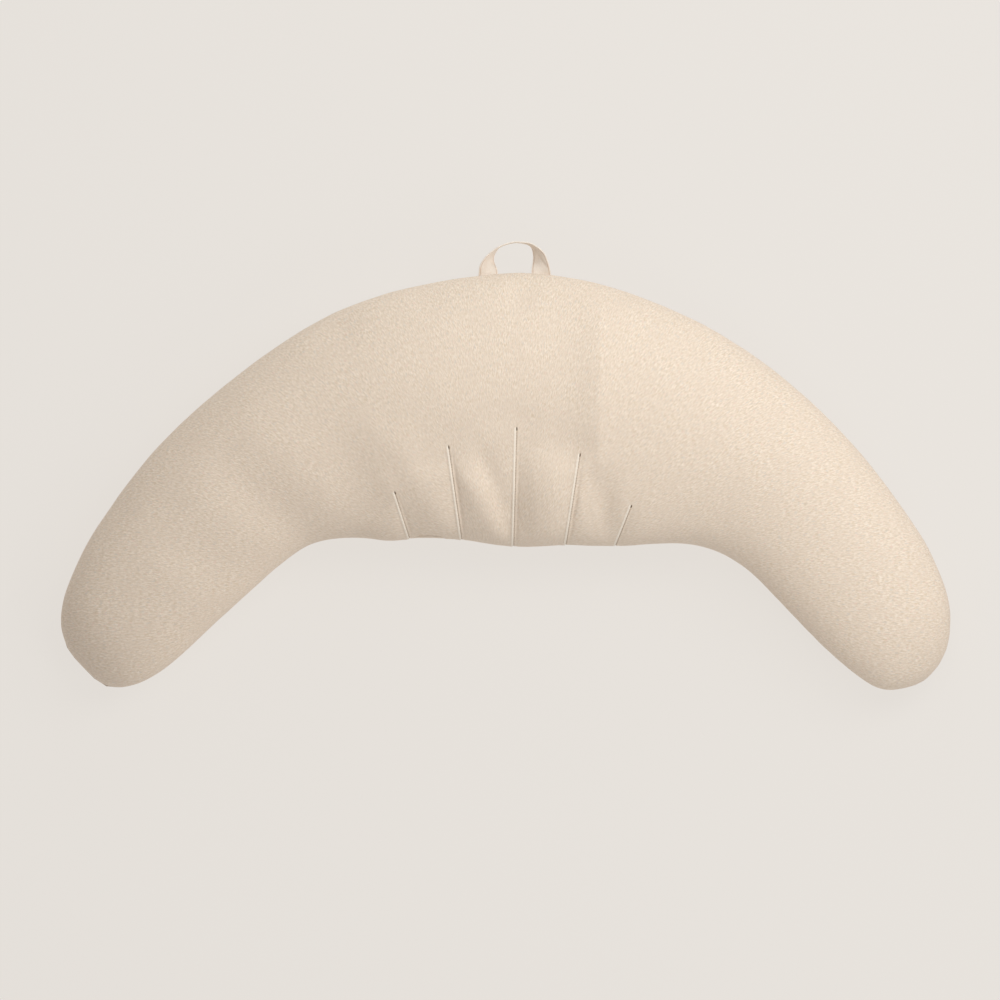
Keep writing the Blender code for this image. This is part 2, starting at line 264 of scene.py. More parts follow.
# Lamps: degrees round from the picture's right and up from the floor, and their power in watts
Lamp = namedtuple("Lamp", "name around up power colour")
LAMPS = (
    Lamp("key", 30, 45, 14.2, (0.94, 0.98, 1.0)),
    Lamp("top", 60, 70, 13.1, (1.0, 0.93, 0.84)),
    Lamp("back", 90, 20, 10.5, (0.86, 0.96, 1.0)),
    Lamp("front_right", 315, 45, 8.7, (0.94, 0.99, 1.0)),
)
LAMP_DISTANCE = 2.4
LAMP_SIZE = 1.2
LAMP_AIM_HEIGHT = 0.1
FLOOR_SIZE = 40.0
FLOOR_BELOW = 0.5               # millimetres under the pillow


def select_only(piece):
    bpy.ops.object.select_all(action="DESELECT")
    piece.select_set(True)
    bpy.context.view_layer.objects.active = piece


def apply_modifier(piece, modifier):
    select_only(piece)
    bpy.ops.object.modifier_apply(modifier=modifier.name)


def smooth_step(share):
    share = min(max(share, 0.0), 1.0)
    return share * share * (3.0 - 2.0 * share)


def new_piece(name, mesh):
    piece = bpy.data.objects.new(name, mesh)
    bpy.context.scene.collection.objects.link(piece)
    return piece


def subdivide(piece, levels=1):
    smoother = piece.modifiers.new("subdivision", "SUBSURF")
    smoother.levels = levels
    smoother.render_levels = levels
    apply_modifier(piece, smoother)


def dart_place(dart, point):
    """How far along a dart from its foot a point lies, and how far to its right, in millimetres."""
    foot = Vector((dart.foot_x, dart.foot_y))
    run = Vector((dart.head_x, dart.head_y)) - foot
    ahead = run.normalized()
    to_point = point.xy / MM - foot
    return to_point.dot(ahead), -ahead.cross(to_point), run.length


def lies_on_dart(edge):
    """Whether an edge of the cage is a step of a dart's stitching."""
    for dart in DARTS:
        places = [dart_place(dart, v.co) for v in edge.verts]
        beside = all(abs(aside) < ON_DART for _, aside, _ in places)
        if beside and all(-ON_DART < along < length + ON_DART for along, _, length in places):
            return True
    return False


def mark_stitched_edges(mesh):
    """Flags and creases the bottoms of the seam and of the darts, which the stitches pull in."""
    cage = bmesh.new()
    cage.from_mesh(mesh)
    crease = cage.edges.layers.float.new("crease_edge")
    level = [edge for edge in cage.edges if abs(edge.verts[0].co.z - edge.verts[1].co.z) < SEAM_STEP * MM]
    level = [edge for edge in level if min(v.co.z for v in edge.verts) > SEAM_LOWEST * MM]
    level = [edge for edge in level if max(v.co.z for v in edge.verts) < SEAM_HIGHEST * MM]
    seam = {edge for edge in level if edge.calc_face_angle_signed() < -math.radians(CONCAVE_CREASE)}
    on_seam = {v for edge in seam for v in edge.verts}
    heights = KDTree(len(on_seam))
    for index, v in enumerate(on_seam):
        heights.insert(v.co, index)
    heights.balance()
    for edge in level:
        gaps = [heights.find(v.co) for v in edge.verts]
        if all(gap[2] < SEAM_BRIDGE * MM and abs(gap[0].z - v.co.z) < MM for gap, v in zip(gaps, edge.verts)):
            seam.add(edge)
    for pole in cage.verts:
        if len(pole.link_edges) < POLE_EDGES:
            continue
        for edge in level:
            if all((v.co - pole.co).length < TIP_REACH * MM for v in edge.verts):
                if all(abs(v.co.z - pole.co.z) < TIP_LEVEL * MM for v in edge.verts):
                    seam.add(edge)
    for edge in cage.edges:
        edge.seam = edge in seam or lies_on_dart(edge)
        edge[crease] = 1.0 if edge.seam else 0.0
    cage.to_mesh(mesh)
    cage.free()


def quads_from_node(name, node):
    """A copy of a node's mesh with its triangles merged and turned back into quads."""
    piece = new_piece(name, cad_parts[node].data.copy())
    select_only(piece)
    bpy.ops.object.mode_set(mode="EDIT")
    bpy.ops.mesh.select_all(action="SELECT")
    bpy.ops.mesh.remove_doubles(threshold=MERGE)
    bpy.ops.mesh.customdata_custom_splitnormals_clear()
    bpy.ops.object.mode_set(mode="OBJECT")
    mark_stitched_edges(piece.data)
    bpy.ops.object.mode_set(mode="EDIT")
    bpy.ops.mesh.select_all(action="SELECT")
    wide = math.radians(180)
    bpy.ops.mesh.tris_convert_to_quads(
        face_threshold=wide, shape_threshold=wide, topology_influence=2.0, seam=True
    )
    bpy.ops.object.mode_set(mode="OBJECT")
    return piece


def front_panel(mesh):
    """Which faces are the front panel: those on the crown's side of the seam."""
    cage = bmesh.new()
    cage.from_mesh(mesh)
    cage.faces.ensure_lookup_table()
    top = max(cage.faces, key=lambda face: face.calc_center_median().z)
    reached, waiting = {top.index}, [top]
    while waiting:
        face = waiting.pop()
        for edge in face.edges:
            if edge.seam:
                continue
            for beyond in edge.link_faces:
                if beyond.index not in reached:
                    reached.add(beyond.index)
                    waiting.append(beyond)
    cage.free()
    return reached


def flat_area(panel, layout):
    """The area that faces cover in a UV map."""
    area = 0.0
    for face in panel:
        spots = [layout.data[index].uv.copy() for index in face.loop_indices]
        area += abs(sum(a.cross(b) for a, b in zip(spots, spots[1:] + spots[:1]))) / 2
    return area


def lay_out_grain(piece):
    """A UV map in metres of each panel laid flat, bent so that its grain fans out along the crescent."""
    mesh = piece.data
    select_only(piece)
    bpy.ops.object.mode_set(mode="EDIT")
    bpy.ops.mesh.select_all(action="SELECT")
    bpy.ops.uv.unwrap(method="MINIMUM_STRETCH", iterations=GRAIN_ROUNDS, margin=0.01)
    bpy.ops.object.mode_set(mode="OBJECT")
    grain = mesh.uv_layers.active
    grain.name = "grain"
    front = front_panel(mesh)
    for on_front in (True, False):
        panel = [face for face in mesh.polygons if (face.index in front) == on_front]
        if not panel:
            continue
        corners = [index for face in panel for index in face.loop_indices]
        scale = math.sqrt(sum(face.area for face in panel) / flat_area(panel, grain))
        flat = [complex(*grain.data[index].uv) for index in corners]
        if not on_front:
            flat = [value.conjugate() for value in flat]
        places = [mesh.vertices[mesh.loops[index].vertex_index].co for index in corners]
        plan = [complex(place.x, place.y) for place in places]
        flat_middle = sum(flat) / len(flat)
        plan_middle = sum(plan) / len(plan)
        turn = sum((p - plan_middle) * (f - flat_middle).conjugate() for p, f in zip(plan, flat))
        turn /= abs(turn)
        for index, value in zip(corners, flat):
            spot = (value - flat_middle) * turn * scale + plan_middle
            up = spot.imag + FAN_RADIUS
            across = FAN_RADIUS * math.atan2(spot.real, up)
            shift = 0.0 if on_front else BACK_PANEL_SHIFT
            grain.data[index].uv = (across + shift, math.hypot(spot.real, up))


def stitched_tree(mesh):
    """A search tree of the points on the seam and the darts."""
    on_stitches = {v for edge in mesh.edges if edge.use_seam for v in edge.vertices}
    tree = KDTree(len(on_stitches))
    for index in on_stitches:
        tree.insert(mesh.vertices[index].co, index)
    tree.balance()
    return tree


def from_darts(point):
    """How far a point lies from the nearest dart, in millimetres."""
    distances = []
    for dart in DARTS:
        along, aside, length = dart_place(dart, point)
        distances.append(math.hypot(aside, max(along - length, -along, 0.0)))
    return min(distances)


def calmed_moves(places, moves):
    """Evens out how far the cloth swells, except beside the darts, which wrinkle it."""
    tree = KDTree(len(places))
    for index, place in enumerate(places):
        tree.insert(place, index)
    tree.balance()
    calmed = []
    for place, move in zip(places, moves):
        calm = smooth_step((from_darts(place) - WRINKLED_BY_DART) / (CALM_FROM_DART - WRINKLED_BY_DART))
        if calm == 0.0:
            calmed.append(move)
            continue
        mean, total = Vector(), 0.0
        for _, index, distance in tree.find_range(place, CALM_REACH):
            weight = 1.0 - distance / CALM_REACH
            mean += moves[index] * weight
            total += weight
        calmed.append(move.lerp(mean / total, calm))
    return calmed


def puff_up(piece):
    """Lets the filling press the cloth out between its stitches, which hold it."""
    mesh = piece.data
    before = [v.co.copy() for v in mesh.vertices]
    tree = stitched_tree(mesh)
    held = piece.vertex_groups.new(name="held")
    for v in mesh.vertices:
        away = tree.find(v.co)[2] - HELD_BY_STITCHES
        share = 1.0 - smooth_step(away / (FREE_OF_STITCHES - HELD_BY_STITCHES))
        if v.co.z < FLAT_ON_FLOOR:
            share = 1.0
        held.add([v.index], share, "REPLACE")
    cloth = piece.modifiers.new("filling", "CLOTH")
    settings = cloth.settings
    settings.quality = 6
    settings.mass = 0.3
    settings.tension_stiffness = 15.0
    settings.compression_stiffness = 15.0
    settings.shear_stiffness = 8.0
    settings.bending_stiffness = 2.0
    settings.use_pressure = True
    settings.uniform_pressure_force = PRESSURE
    settings.vertex_group_mass = "held"
    settings.pin_stiffness = 1.0
    settings.effector_weights.gravity = 0.0
    cloth.collision_settings.use_collision = False
    cloth.collision_settings.use_self_collision = False
    cloth.point_cache.frame_start = 1
    cloth.point_cache.frame_end = SIM_FRAMES
    scene = bpy.context.scene
    for frame_number in range(1, SIM_FRAMES + 1):
        scene.frame_set(frame_number)
    apply_modifier(piece, cloth)
    scene.frame_set(1)
    piece.vertex_groups.clear()
    moves = calmed_moves(before, [v.co - start for v, start in zip(piece.data.vertices, before)])
    for v, start, move in zip(piece.data.vertices, before, moves):
        v.co = start + move * min(1.0, MOST_MOVEMENT / max(move.length, MERGE))
        v.co.z = max(v.co.z, 0.0)


def refine_dart_strips(piece):
    """Cuts the edges that run along the darts, so that the mesh can hold their stitches."""
    cloth = bmesh.new()
    cloth.from_mesh(piece.data)
    chosen = set()
    for dart in DARTS:
        for edge in cloth.edges:
            ends = [dart_place(dart, v.co) for v in edge.verts]
            if max(v.co.z for v in edge.verts) < FLAT_ON_FLOOR:
                continue
            if any(abs(aside) > STRIP_HALF for _, aside, _ in ends):
                continue
            if any(not -STRIP_HALF < along < length + STRIP_PAST_HEAD for along, _, length in ends):
                continue
            if abs(ends[0][1] - ends[1][1]) * MM < STRIP_ALONG * edge.calc_length():
                chosen.add(edge)
    bmesh.ops.subdivide_edges(cloth, edges=list(chosen), cuts=STRIP_CUTS, use_grid_fill=True)
    cloth.to_mesh(piece.data)
    cloth.free()


def strip_points(mesh, dart):
    """The cloth's points beside a dart: their indices, and places along and aside in millimetres."""
    points = []
    for v in mesh.vertices:
        along, aside, length = dart_place(dart, v.co)
        if v.co.z < FLAT_ON_FLOOR or abs(aside) > STRIP_HALF:
            continue
        if -STRIP_HALF < along < length + STRIP_PAST_HEAD:
            points.append((v.index, along, aside))
    return points


def shoulder_tree(mesh, points, side):
    """A search tree, by place along the dart and height, of the points on its left or right shoulder."""
    shoulder = [(index, along) for index, along, aside in points if side * aside > SHOULDER_FROM]
    tree = KDTree(len(shoulder))
    for index, along in shoulder:
        tree.insert((along, mesh.vertices[index].co.z / MM, 0.0), index)
    tree.balance()
    return tree


def below_shoulder(tree, facing, along, height):
    """How far a point lies below one shoulder, and which way that shoulder faces."""
    depth, total, way = 0.0, 0.0, Vector((0.0, 0.0))
    for place, index, distance in tree.find_n((along, height, 0.0), NEAREST_POINTS):
        weight = 1.0 / (distance + NEAREST_SOFTENED)
        depth += weight * (place.xy - Vector((along, height))).dot(facing[index])
        way += weight * facing[index]
        total += weight
    return depth / total, way.normalized()


def stitch_dart(mesh, dart, normals, side_of, run_of):
    """Closes a dart to a slit, presses the tuck beside it and sinks the pit at its head."""
    points = strip_points(mesh, dart)
    ahead = Vector((dart.head_x - dart.foot_x, dart.head_y - dart.foot_y, 0.0)).normalized()
    facing = {i: Vector((normals[i].dot(ahead), normals[i].z)).normalized() for i, _, _ in points}
    shoulders = {side: shoulder_tree(mesh, points, side) for side in (-1, 1)}
    length = math.hypot(dart.head_x - dart.foot_x, dart.head_y - dart.foot_y)
    upper = [point for point in points if facing[point[0]].y > 0.0]
    at_head = min(upper, key=lambda point: math.hypot(point[1] - length, point[2]))
    head_height = mesh.vertices[at_head[0]].co.z / MM
    moves = {}
    for index, along, aside in points:
        height = mesh.vertices[index].co.z / MM
        left_depth, left_way = below_shoulder(shoulders[-1], facing, along, height)
        right_depth, right_way = below_shoulder(shoulders[1], facing, along, height)
        share = (aside / STRIP_HALF + 1.0) / 2.0
        way = left_way.lerp(right_way, share).normalized()
        level_to = LEVEL_TO[-1 if aside < 0.0 else 1]
        level = 1.0 - smooth_step((abs(aside) - level_to) / (SHOULDER_FROM - level_to))
        move = level * (left_depth * (1.0 - share) + right_depth * share)
        fade = smooth_step((length - along) / DART_FADE)
        wave = math.sin(2.0 * math.pi * along / BEAD_PITCH)
        from_tuck = aside - TUCK_PLACE
        tuck = math.exp(-((from_tuck / TUCK_SLOPE) ** 2 if from_tuck < 0.0 else (from_tuck / TUCK_HALF) ** 4))
        move += TUCK_RISE * fade * (1.0 + BEAD_SHARE * wave) * tuck
        move -= SLIT_DEPTH * fade * math.exp(-((aside / SLIT_HALF) ** 2))
        down = (along - (length - PIT_BELOW)) / PIT_LONG
        hole = math.exp(-((down * down + (aside / PIT_WIDE) ** 2) ** 2))
        move -= PIT_DEPTH * hole
        move *= smooth_step((height - CLOSED_ABOVE) / CLOSED_FADE)
        moves[index] = (ahead * way.x + Vector((0.0, 0.0, way.y))) * (move * MM)
        run = math.hypot(length - along, head_height - height)
        if abs(aside) < abs(side_of[index].value):
            side_of[index].value = aside
            run_of[index].value = math.copysign(run, length - along)
    for index, move in moves.items():
        mesh.vertices[index].co += move


def stitch_darts(piece):
    """Works every dart, and keeps each point's place beside and along its stitching for the painted highlight
    and shade there.
    """
    mesh = piece.data
    side_of = mesh.attributes.new("stitch_side", "FLOAT", "POINT").data
    run_of = mesh.attributes.new("stitch_run", "FLOAT", "POINT").data
    for index in range(len(mesh.vertices)):
        side_of[index].value = FAR_ASIDE
    for dart in DARTS:
        normals = [v.normal.copy() for v in mesh.vertices]
        stitch_dart(mesh, dart, normals, side_of, run_of)


def soften_left_arm(piece):
    """Evens the wrinkles of the left arm a little."""
    arm = piece.vertex_groups.new(name="left_arm")
    for v in piece.data.vertices:
        share = smooth_step((ARM_FROM_X - v.co.x / MM) / ARM_FADE)
        if v.co.z < FLAT_ON_FLOOR:
            share = 0.0
        arm.add([v.index], share, "REPLACE")
    for edge in piece.data.edges:
        if edge.use_seam:
            arm.add(list(edge.vertices), 0.0, "REPLACE")
    softer = piece.modifiers.new("softer_wrinkles", "SMOOTH")
    softer.factor = 0.5
    softer.iterations = ARM_PASSES
    softer.vertex_group = arm.name
    apply_modifier(piece, softer)
    piece.vertex_groups.clear()


def fold_height(fold, x, y):
    """How far one fold lifts the cloth at a place, in millimetres."""
    start = Vector((fold.from_x, fold.from_y))
    run = Vector((fold.to_x, fold.to_y)) - start
    ahead = run.normalized()
    right = Vector((-ahead.y, ahead.x))
    to_point = Vector((x, y)) - start
    along, aside = to_point.dot(ahead), to_point.dot(right)
    past = max(-along, along - run.length, 0.0)
    reach = fold.left if aside < 0.0 else fold.right
    return fold.rise * math.exp(-((aside / reach) ** 2)) * (1.0 - smooth_step(past / FOLD_FADE))


def crease_dip(x, y):
    """How far the cloth dips to the left of the long crease."""
    share = (y - CREASE_TO[1]) / (CREASE_FROM[1] - CREASE_TO[1])
    line = CREASE_TO[0] + (CREASE_FROM[0] - CREASE_TO[0]) * share
    out = line - x
    if out <= 0.0:
        return 0.0
    drop = 1.0 - (1.0 - min(out / CREASE_DROP, 1.0)) ** 2
    drop *= 1.0 - smooth_step((out - CREASE_DROP) / CREASE_RECOVERY)
    past = max(CREASE_TO[1] - y, y - CREASE_FROM[1], 0.0)
    return CREASE_DEPTH * drop * (1.0 - smooth_step(past / CREASE_FADE))


def press_folds(piece):
    """Shapes the folds, the long crease, the filling's lumps and the bulge of the inner edge."""
    mesh = piece.data
    normals = [v.normal.copy() for v in mesh.vertices]
    for v, normal in zip(mesh.vertices, normals):
        if v.co.z < FLAT_ON_FLOOR:
            continue
        calm = smooth_step(v.co.z / MM / CLOSED_FADE)
        v.co += normal * (LUMP_RISE * MM * calm * noise.noise(v.co / (LUMP_SIZE * MM)))
        bulge = math.exp(-(((v.co.x / MM - BULGE_X) / BULGE_REACH) ** 2)) * max(-normal.y, 0.0)
        v.co.y -= BULGE_OUT * MM * calm * bulge
        if normal.z <= 0.0:
            continue
        x, y = v.co.x / MM, v.co.y / MM
        height = sum(fold_height(fold, x, y) for fold in FOLDS) - crease_dip(x, y)
        v.co.z += height * normal.z * MM


def pucker_seam(piece):
    """Small puckers along the seam, and the front panel drawn back where the back panel shows."""
    mesh = piece.data
    front = front_panel(mesh)
    on_front, on_back = set(), set()
    for face in mesh.polygons:
        (on_front if face.index in front else on_back).update(face.vertices)
    seam = on_front & on_back
    # each point's distance from the seam, for the painted shade line in its crease
    seam_shade_distance = mesh.attributes.new("seam_shade_distance", "FLOAT", "POINT").data
    tree = KDTree(len(seam))
    for index in seam:
        tree.insert(mesh.vertices[index].co, index)
    tree.balance()
    moves = {}
    for v in mesh.vertices:
        nearest, _, away = tree.find(v.co)
        away /= MM
        seam_shade_distance[v.index].value = min(away, SEAM_SHADE_REACH)
        if away > SHOWN_UP or v.co.z < FLAT_ON_FLOOR:
            continue
        gather = noise.noise(nearest / (PUCKER_PITCH * MM))
        move = v.normal * (PUCKER_RISE * gather * math.exp(-((away / PUCKER_REACH) ** 2)))
        x = v.co.x / MM
        shown = smooth_step((x - SHOWN_FROM_X) / SHOWN_FADE) * smooth_step((SHOWN_TO_X - x) / SHOWN_FADE)
        inner_edge = v.co.y < nearest.y + SHOWN_UP * MM and nearest.y < 0.0
        if shown > 0.0 and inner_edge and v.index in on_front:
            low = smooth_step(away / SHOWN_LOW)
            high = 1.0 - smooth_step((away - SHOWN_LOW) / (SHOWN_UP - SHOWN_LOW))
            move.y += SHOWN_BACK * shown * low * high
        moves[v.index] = move * MM
    for index, move in moves.items():
        mesh.vertices[index].co += move


def shader_node(tree, kind, place, **values):
    node = tree.nodes.new(kind)
    node.location = place
    for name, value in values.items():
        setattr(node, name, value)
    return node


def fabric_shader(name):
    material = bpy.data.materials.new(name)
    material.use_nodes = True
    tree = material.node_tree
    shader = tree.nodes["Principled BSDF"]
    shader.location = (500, 200)
    tree.nodes["Material Output"].location = (800, 200)
    return material, tree, shader


def stretched_noise(tree, vector, per_metre, offset, detail, place):
    mapping = shader_node(tree, "ShaderNodeMapping", (-1300, place))
    mapping.inputs["Scale"].default_value = per_metre
    mapping.inputs["Location"].default_value = offset
    tree.links.new(vector, mapping.inputs["Vector"])
    pattern = shader_node(tree, "ShaderNodeTexNoise", (-1100, place), noise_dimensions="2D")
    pattern.inputs["Scale"].default_value = 1.0
    pattern.inputs["Detail"].default_value = detail
    pattern.inputs["Roughness"].default_value = 0.5
    tree.links.new(mapping.outputs["Vector"], pattern.inputs["Vector"])
    return pattern.outputs["Fac"]


def spread(tree, value, low, high, most, place):
    ramp = shader_node(tree, "ShaderNodeMapRange", place)
    ramp.inputs["From Min"].default_value = low
    ramp.inputs["From Max"].default_value = high
    ramp.inputs["To Max"].default_value = most
    tree.links.new(value, ramp.inputs["Value"])
    return ramp.outputs["Result"]


def tint(tree, under, colour, share, place):
    mix = shader_node(tree, "ShaderNodeMix", place, data_type="RGBA", blend_type="MIX")
    if isinstance(under, tuple):
        mix.inputs["A"].default_value = under
    else:
        tree.links.new(under, mix.inputs["A"])
    mix.inputs["B"].default_value = colour
    tree.links.new(share, mix.inputs["Factor"])
    return mix.outputs["Result"]


def maths(tree, operation, first, second, place):
    node = shader_node(tree, "ShaderNodeMath", place, operation=operation)
    for socket, value in zip(node.inputs, (first, second)):
        if isinstance(value, (int, float)):
            socket.default_value = value
        else:
            tree.links.new(value, socket)
    return node.outputs["Value"]


def band(tree, value, middle, half, soft, most, place):
    """Full within half of the middle value, and gone a soft step further out."""
    offset = maths(tree, "SUBTRACT", value, middle, (place[0] - 400, place[1]))
    away = maths(tree, "ABSOLUTE", offset, 0.0, (place[0] - 200, place[1]))
    return spread(tree, away, half + soft, half, most, place)


def cloth_attribute(tree, name, place):
    return shader_node(tree, "ShaderNodeAttribute", place, attribute_name=name).outputs["Fac"]

def scaled_offset(tree, value, middle, size, place):
    """How far a value lies from its middle, in shares of a size."""
    offset = maths(tree, "SUBTRACT", value, middle, (place[0] - 200, place[1]))
    return maths(tree, "DIVIDE", offset, size, place)

def painted_light_and_shade(tree, colour):
    """Painted light and shade at the stitches: a painted highlight on the pressed tuck beside each dart,
    painted shade in its slit and pit, and a painted shade line in the seam's crease.
    """
    side = cloth_attribute(tree, "stitch_side", (-1500, -1300))
    run = cloth_attribute(tree, "stitch_run", (-1500, -1600))
    seam = cloth_attribute(tree, "seam_shade_distance", (-1500, -1900))
    below_head = spread(tree, run, 0.0, PAINT_START_BELOW_HEAD, 1.0, (-700, -1500))
    # painted highlight along the tuck, where light falls on its side
    tuck = band(tree, side, TUCK_PLACE, TUCK_HIGHLIGHT_HALF, TUCK_HIGHLIGHT_SOFT, TUCK_HIGHLIGHT_SHARE, (-700, -1100))
    tuck = maths(tree, "MULTIPLY", tuck, below_head, (-500, -1100))
    colour = tint(tree, colour, TUCK_PAINTED_HIGHLIGHT, tuck, (-300, -1000))
    # painted shade in the slit, in dashes at the stitches' pitch
    slit = band(tree, side, SLIT_SHADE_PLACE, SLIT_SHADE_HALF, SLIT_SHADE_SOFT, SLIT_SHADE_SHARE, (-700, -1300))
    slit = maths(tree, "MULTIPLY", slit, below_head, (-500, -1300))
    turns = maths(tree, "MULTIPLY", run, 2.0 * math.pi / STITCH_DASH, (-1100, -1600))
    wave = maths(tree, "SINE", turns, 0.0, (-900, -1600))
    dashes = spread(tree, wave, DASH_PALEST, DASH_DARKEST, 1.0, (-700, -1700))
    slit = maths(tree, "MULTIPLY", slit, dashes, (-300, -1300))
    colour = tint(tree, colour, SLIT_PAINTED_SHADE, slit, (-100, -1100))
    below = scaled_offset(tree, run, PIT_BELOW, PIT_LONG, (-900, -1800))
    beside = scaled_offset(tree, side, PIT_LINE_PLACE, PIT_WIDE, (-900, -2000))
    below = maths(tree, "MULTIPLY", below, below, (-700, -1900))
    beside = maths(tree, "MULTIPLY", beside, beside, (-700, -2100))
    from_pit = maths(tree, "ADD", below, beside, (-500, -1900))
    pit = spread(tree, from_pit, PIT_EDGE, PIT_CORE, 1.0, (-300, -1900))
    colour = tint(tree, colour, PIT_SHADE, pit, (100, -1100))
    # painted shade line in the crease along the seam
    line = spread(tree, seam, SEAM_SHADE_EDGE, SEAM_SHADE_CORE, SEAM_SHADE_SHARE, (-300, -2200))
    return tint(tree, colour, SEAM_SHADE, line, (300, -1100))

def flecked(tree, vector, colour, flecks):
    """A ground colour with each kind of fleck laid over it in turn."""
    for row, fleck in enumerate(flecks):
        place = 600 - 300 * row
        per_metre = (fleck.across, fleck.along, 1.0)
        pattern = stretched_noise(tree, vector, per_metre, (*fleck.start, 0.0), fleck.detail, place)
        share = spread(tree, pattern, fleck.low, fleck.high, fleck.most, (-850, place))
        colour = tint(tree, colour, fleck.colour, share, (-600 + 150 * row, place))
    return colour

def add_relief(tree, shader, height, strength, distance):
    bump = shader_node(tree, "ShaderNodeBump", (250, -300))
    bump.inputs["Strength"].default_value = strength
    bump.inputs["Distance"].default_value = distance
    tree.links.new(height, bump.inputs["Height"])
    tree.links.new(bump.outputs["Normal"], shader.inputs["Normal"])

def melange_jersey():
    """Brushed oatmeal jersey: cream with fine short flecks of beige, rose and grey along the grain."""
    material, tree, shader = fabric_shader("melange_jersey")
    shader.inputs["Roughness"].default_value = 0.92
    shader.inputs["Specular IOR Level"].default_value = 0.2
    shader.inputs["Sheen Weight"].default_value = 0.12
    shader.inputs["Sheen Roughness"].default_value = 0.5
    shader.inputs["Sheen Tint"].default_value = (1.0, 0.96, 0.92, 1.0)
    grain = shader_node(tree, "ShaderNodeUVMap", (-1500, 0), uv_map="grain").outputs["UV"]
    colour = painted_light_and_shade(tree, flecked(tree, grain, JERSEY_GROUND, JERSEY_FLECKS))
    tree.links.new(colour, shader.inputs["Base Color"])
    fuzz = stretched_noise(tree, grain, (900.0, 420.0, 1.0), (2.2, 3.3, 0.0), 2.0, -900)
    add_relief(tree, shader, fuzz, strength=0.35, distance=0.6 * MM)
    return material

def make_pillow():
    pillow = quads_from_node("pillow", "pillow_body")
    lay_out_grain(pillow)
    subdivide(pillow)
    puff_up(pillow)
    soften_left_arm(pillow)
    refine_dart_strips(pillow)
    subdivide(pillow)
    pucker_seam(pillow)
    press_folds(pillow)
    stitch_darts(pillow)
    pillow.data.materials.clear()
    pillow.data.materials.append(melange_jersey())
    pillow.data.shade_smooth()
    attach(pillow, "root")
    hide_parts("pillow_body")
    return pillow


def curve_through(rows, stations, at):
    """A smooth curve through rows of numbers, each at its station, read at one place."""
    last = len(rows) - 1
    first = 0
    while first < last - 1 and stations[first + 1] <= at:
        first += 1
    span = stations[first + 1] - stations[first]
    share = (at - stations[first]) / span

    def slope(index):
        before, after = max(index - 1, 0), min(index + 1, last)
        run = stations[after] - stations[before]
        return [(b - a) / run * span for a, b in zip(rows[before], rows[after])]

    weights = (
        (1 + 2 * share) * (1 - share) ** 2,
        share * (1 - share) ** 2,
        share * share * (3 - 2 * share),
        share * share * (share - 1),
    )
    parts = (rows[first], slope(first), rows[first + 1], slope(first + 1))
    return [sum(w * v for w, v in zip(weights, column)) for column in zip(*parts)]


class TapeRoute:
    """The bent and turned surface that the tape's middle layer lies on."""

    def __init__(self):
        self.stations = [0.0]
        for a, b in zip(TAPE_PATH, TAPE_PATH[1:]):
            self.stations.append(self.stations[-1] + math.hypot(b.x - a.x, b.y - a.y))
        self.length = self.stations[-1]
        self.low_y = TAPE_PATH[0].y
        self.high_y = max(point.y for point in TAPE_PATH)

    def frame(self, along):
        """The tape's middle, its direction across itself and its face's direction at one place."""
        x, y, turn = curve_through(TAPE_PATH, self.stations, along)
        ahead = curve_through(TAPE_PATH, self.stations, min(along + TAPE_SIGHT, self.length))
        behind = curve_through(TAPE_PATH, self.stations, max(along - TAPE_SIGHT, 0.0))
        run = Vector((ahead[0] - behind[0], ahead[1] - behind[1], 0.0)).normalized()
        angle = math.radians(turn)
        across = Vector((-run.y, run.x, 0.0)) * math.cos(angle) + Vector((0.0, 0.0, math.sin(angle)))
        out = (y - self.low_y) / (self.high_y - self.low_y)
        middle = Vector((x, y, TAPE_HEIGHT - TAPE_SAG * smooth_step(out)))
        return middle, across, run.cross(across)

    def place(self, along, across, lift=0.0):
        middle, side, face = self.frame(along)
        return (middle + side * across + face * (lift + self.dent(along, across))) * MM

    def dent(self, along, across):
        depth = 0.0
        for dent in DENTS:
            start = Vector((dent.from_along, dent.from_across))
            run = Vector((dent.to_along, dent.to_across)) - start
            to_point = Vector((along, across)) - start
            nearest = start + run * min(max(to_point.dot(run) / run.length_squared, 0.0), 1.0)
            away = (Vector((along, across)) - nearest).length / dent.half_width
            depth += dent.depth * math.exp(-away * away)
        return depth


def tape_share_of_thickness(across):
    """Folded edges are full, the line of stitches pulls in, and the middle is a little thinner."""
    from_edge = TAPE_WIDTH / 2 - abs(across)
    groove = math.exp(-(((from_edge - HEM_WIDTH) / STITCH_GROOVE_HALF) ** 2))
    hem = 1.0 - smooth_step((from_edge - HEM_WIDTH) / HEM_FADE)
    return MIDDLE_SHARE + (1.0 - MIDDLE_SHARE) * hem - STITCH_GROOVE_SHARE * groove


def make_loop():
    route = TapeRoute()
    bpy.ops.object.select_all(action="DESELECT")
    bpy.ops.mesh.primitive_grid_add(x_subdivisions=TAPE_ACROSS, y_subdivisions=TAPE_ALONG, size=1.0)
    loop = bpy.context.active_object
    loop.name = "tape_loop"
    mesh = loop.data
    weave = mesh.uv_layers.active
    weave.name = "weave"
    for corner in mesh.loops:
        spot = mesh.vertices[corner.vertex_index].co
        weave.data[corner.index].uv = (spot.x * TAPE_WIDTH * MM, (spot.y + 0.5) * route.length * MM)
    thick = loop.vertex_groups.new(name="thick")
    for v in mesh.vertices:
        across, along = v.co.x * TAPE_WIDTH, (v.co.y + 0.5) * route.length
        thick.add([v.index], tape_share_of_thickness(across), "REPLACE")
        v.co = route.place(along, -across)
    layers = loop.modifiers.new("layers", "SOLIDIFY")
    layers.thickness = TAPE_THICKNESS * MM
    layers.offset = 0.0
    layers.vertex_group = "thick"
    apply_modifier(loop, layers)
    subdivide(loop)
    loop.vertex_groups.clear()
    mesh.materials.clear()
    mesh.materials.append(cotton_tape())
    mesh.shade_smooth()
    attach(loop, "root")
    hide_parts("carry_loop")
    stitches = make_stitches(route)
    return loop


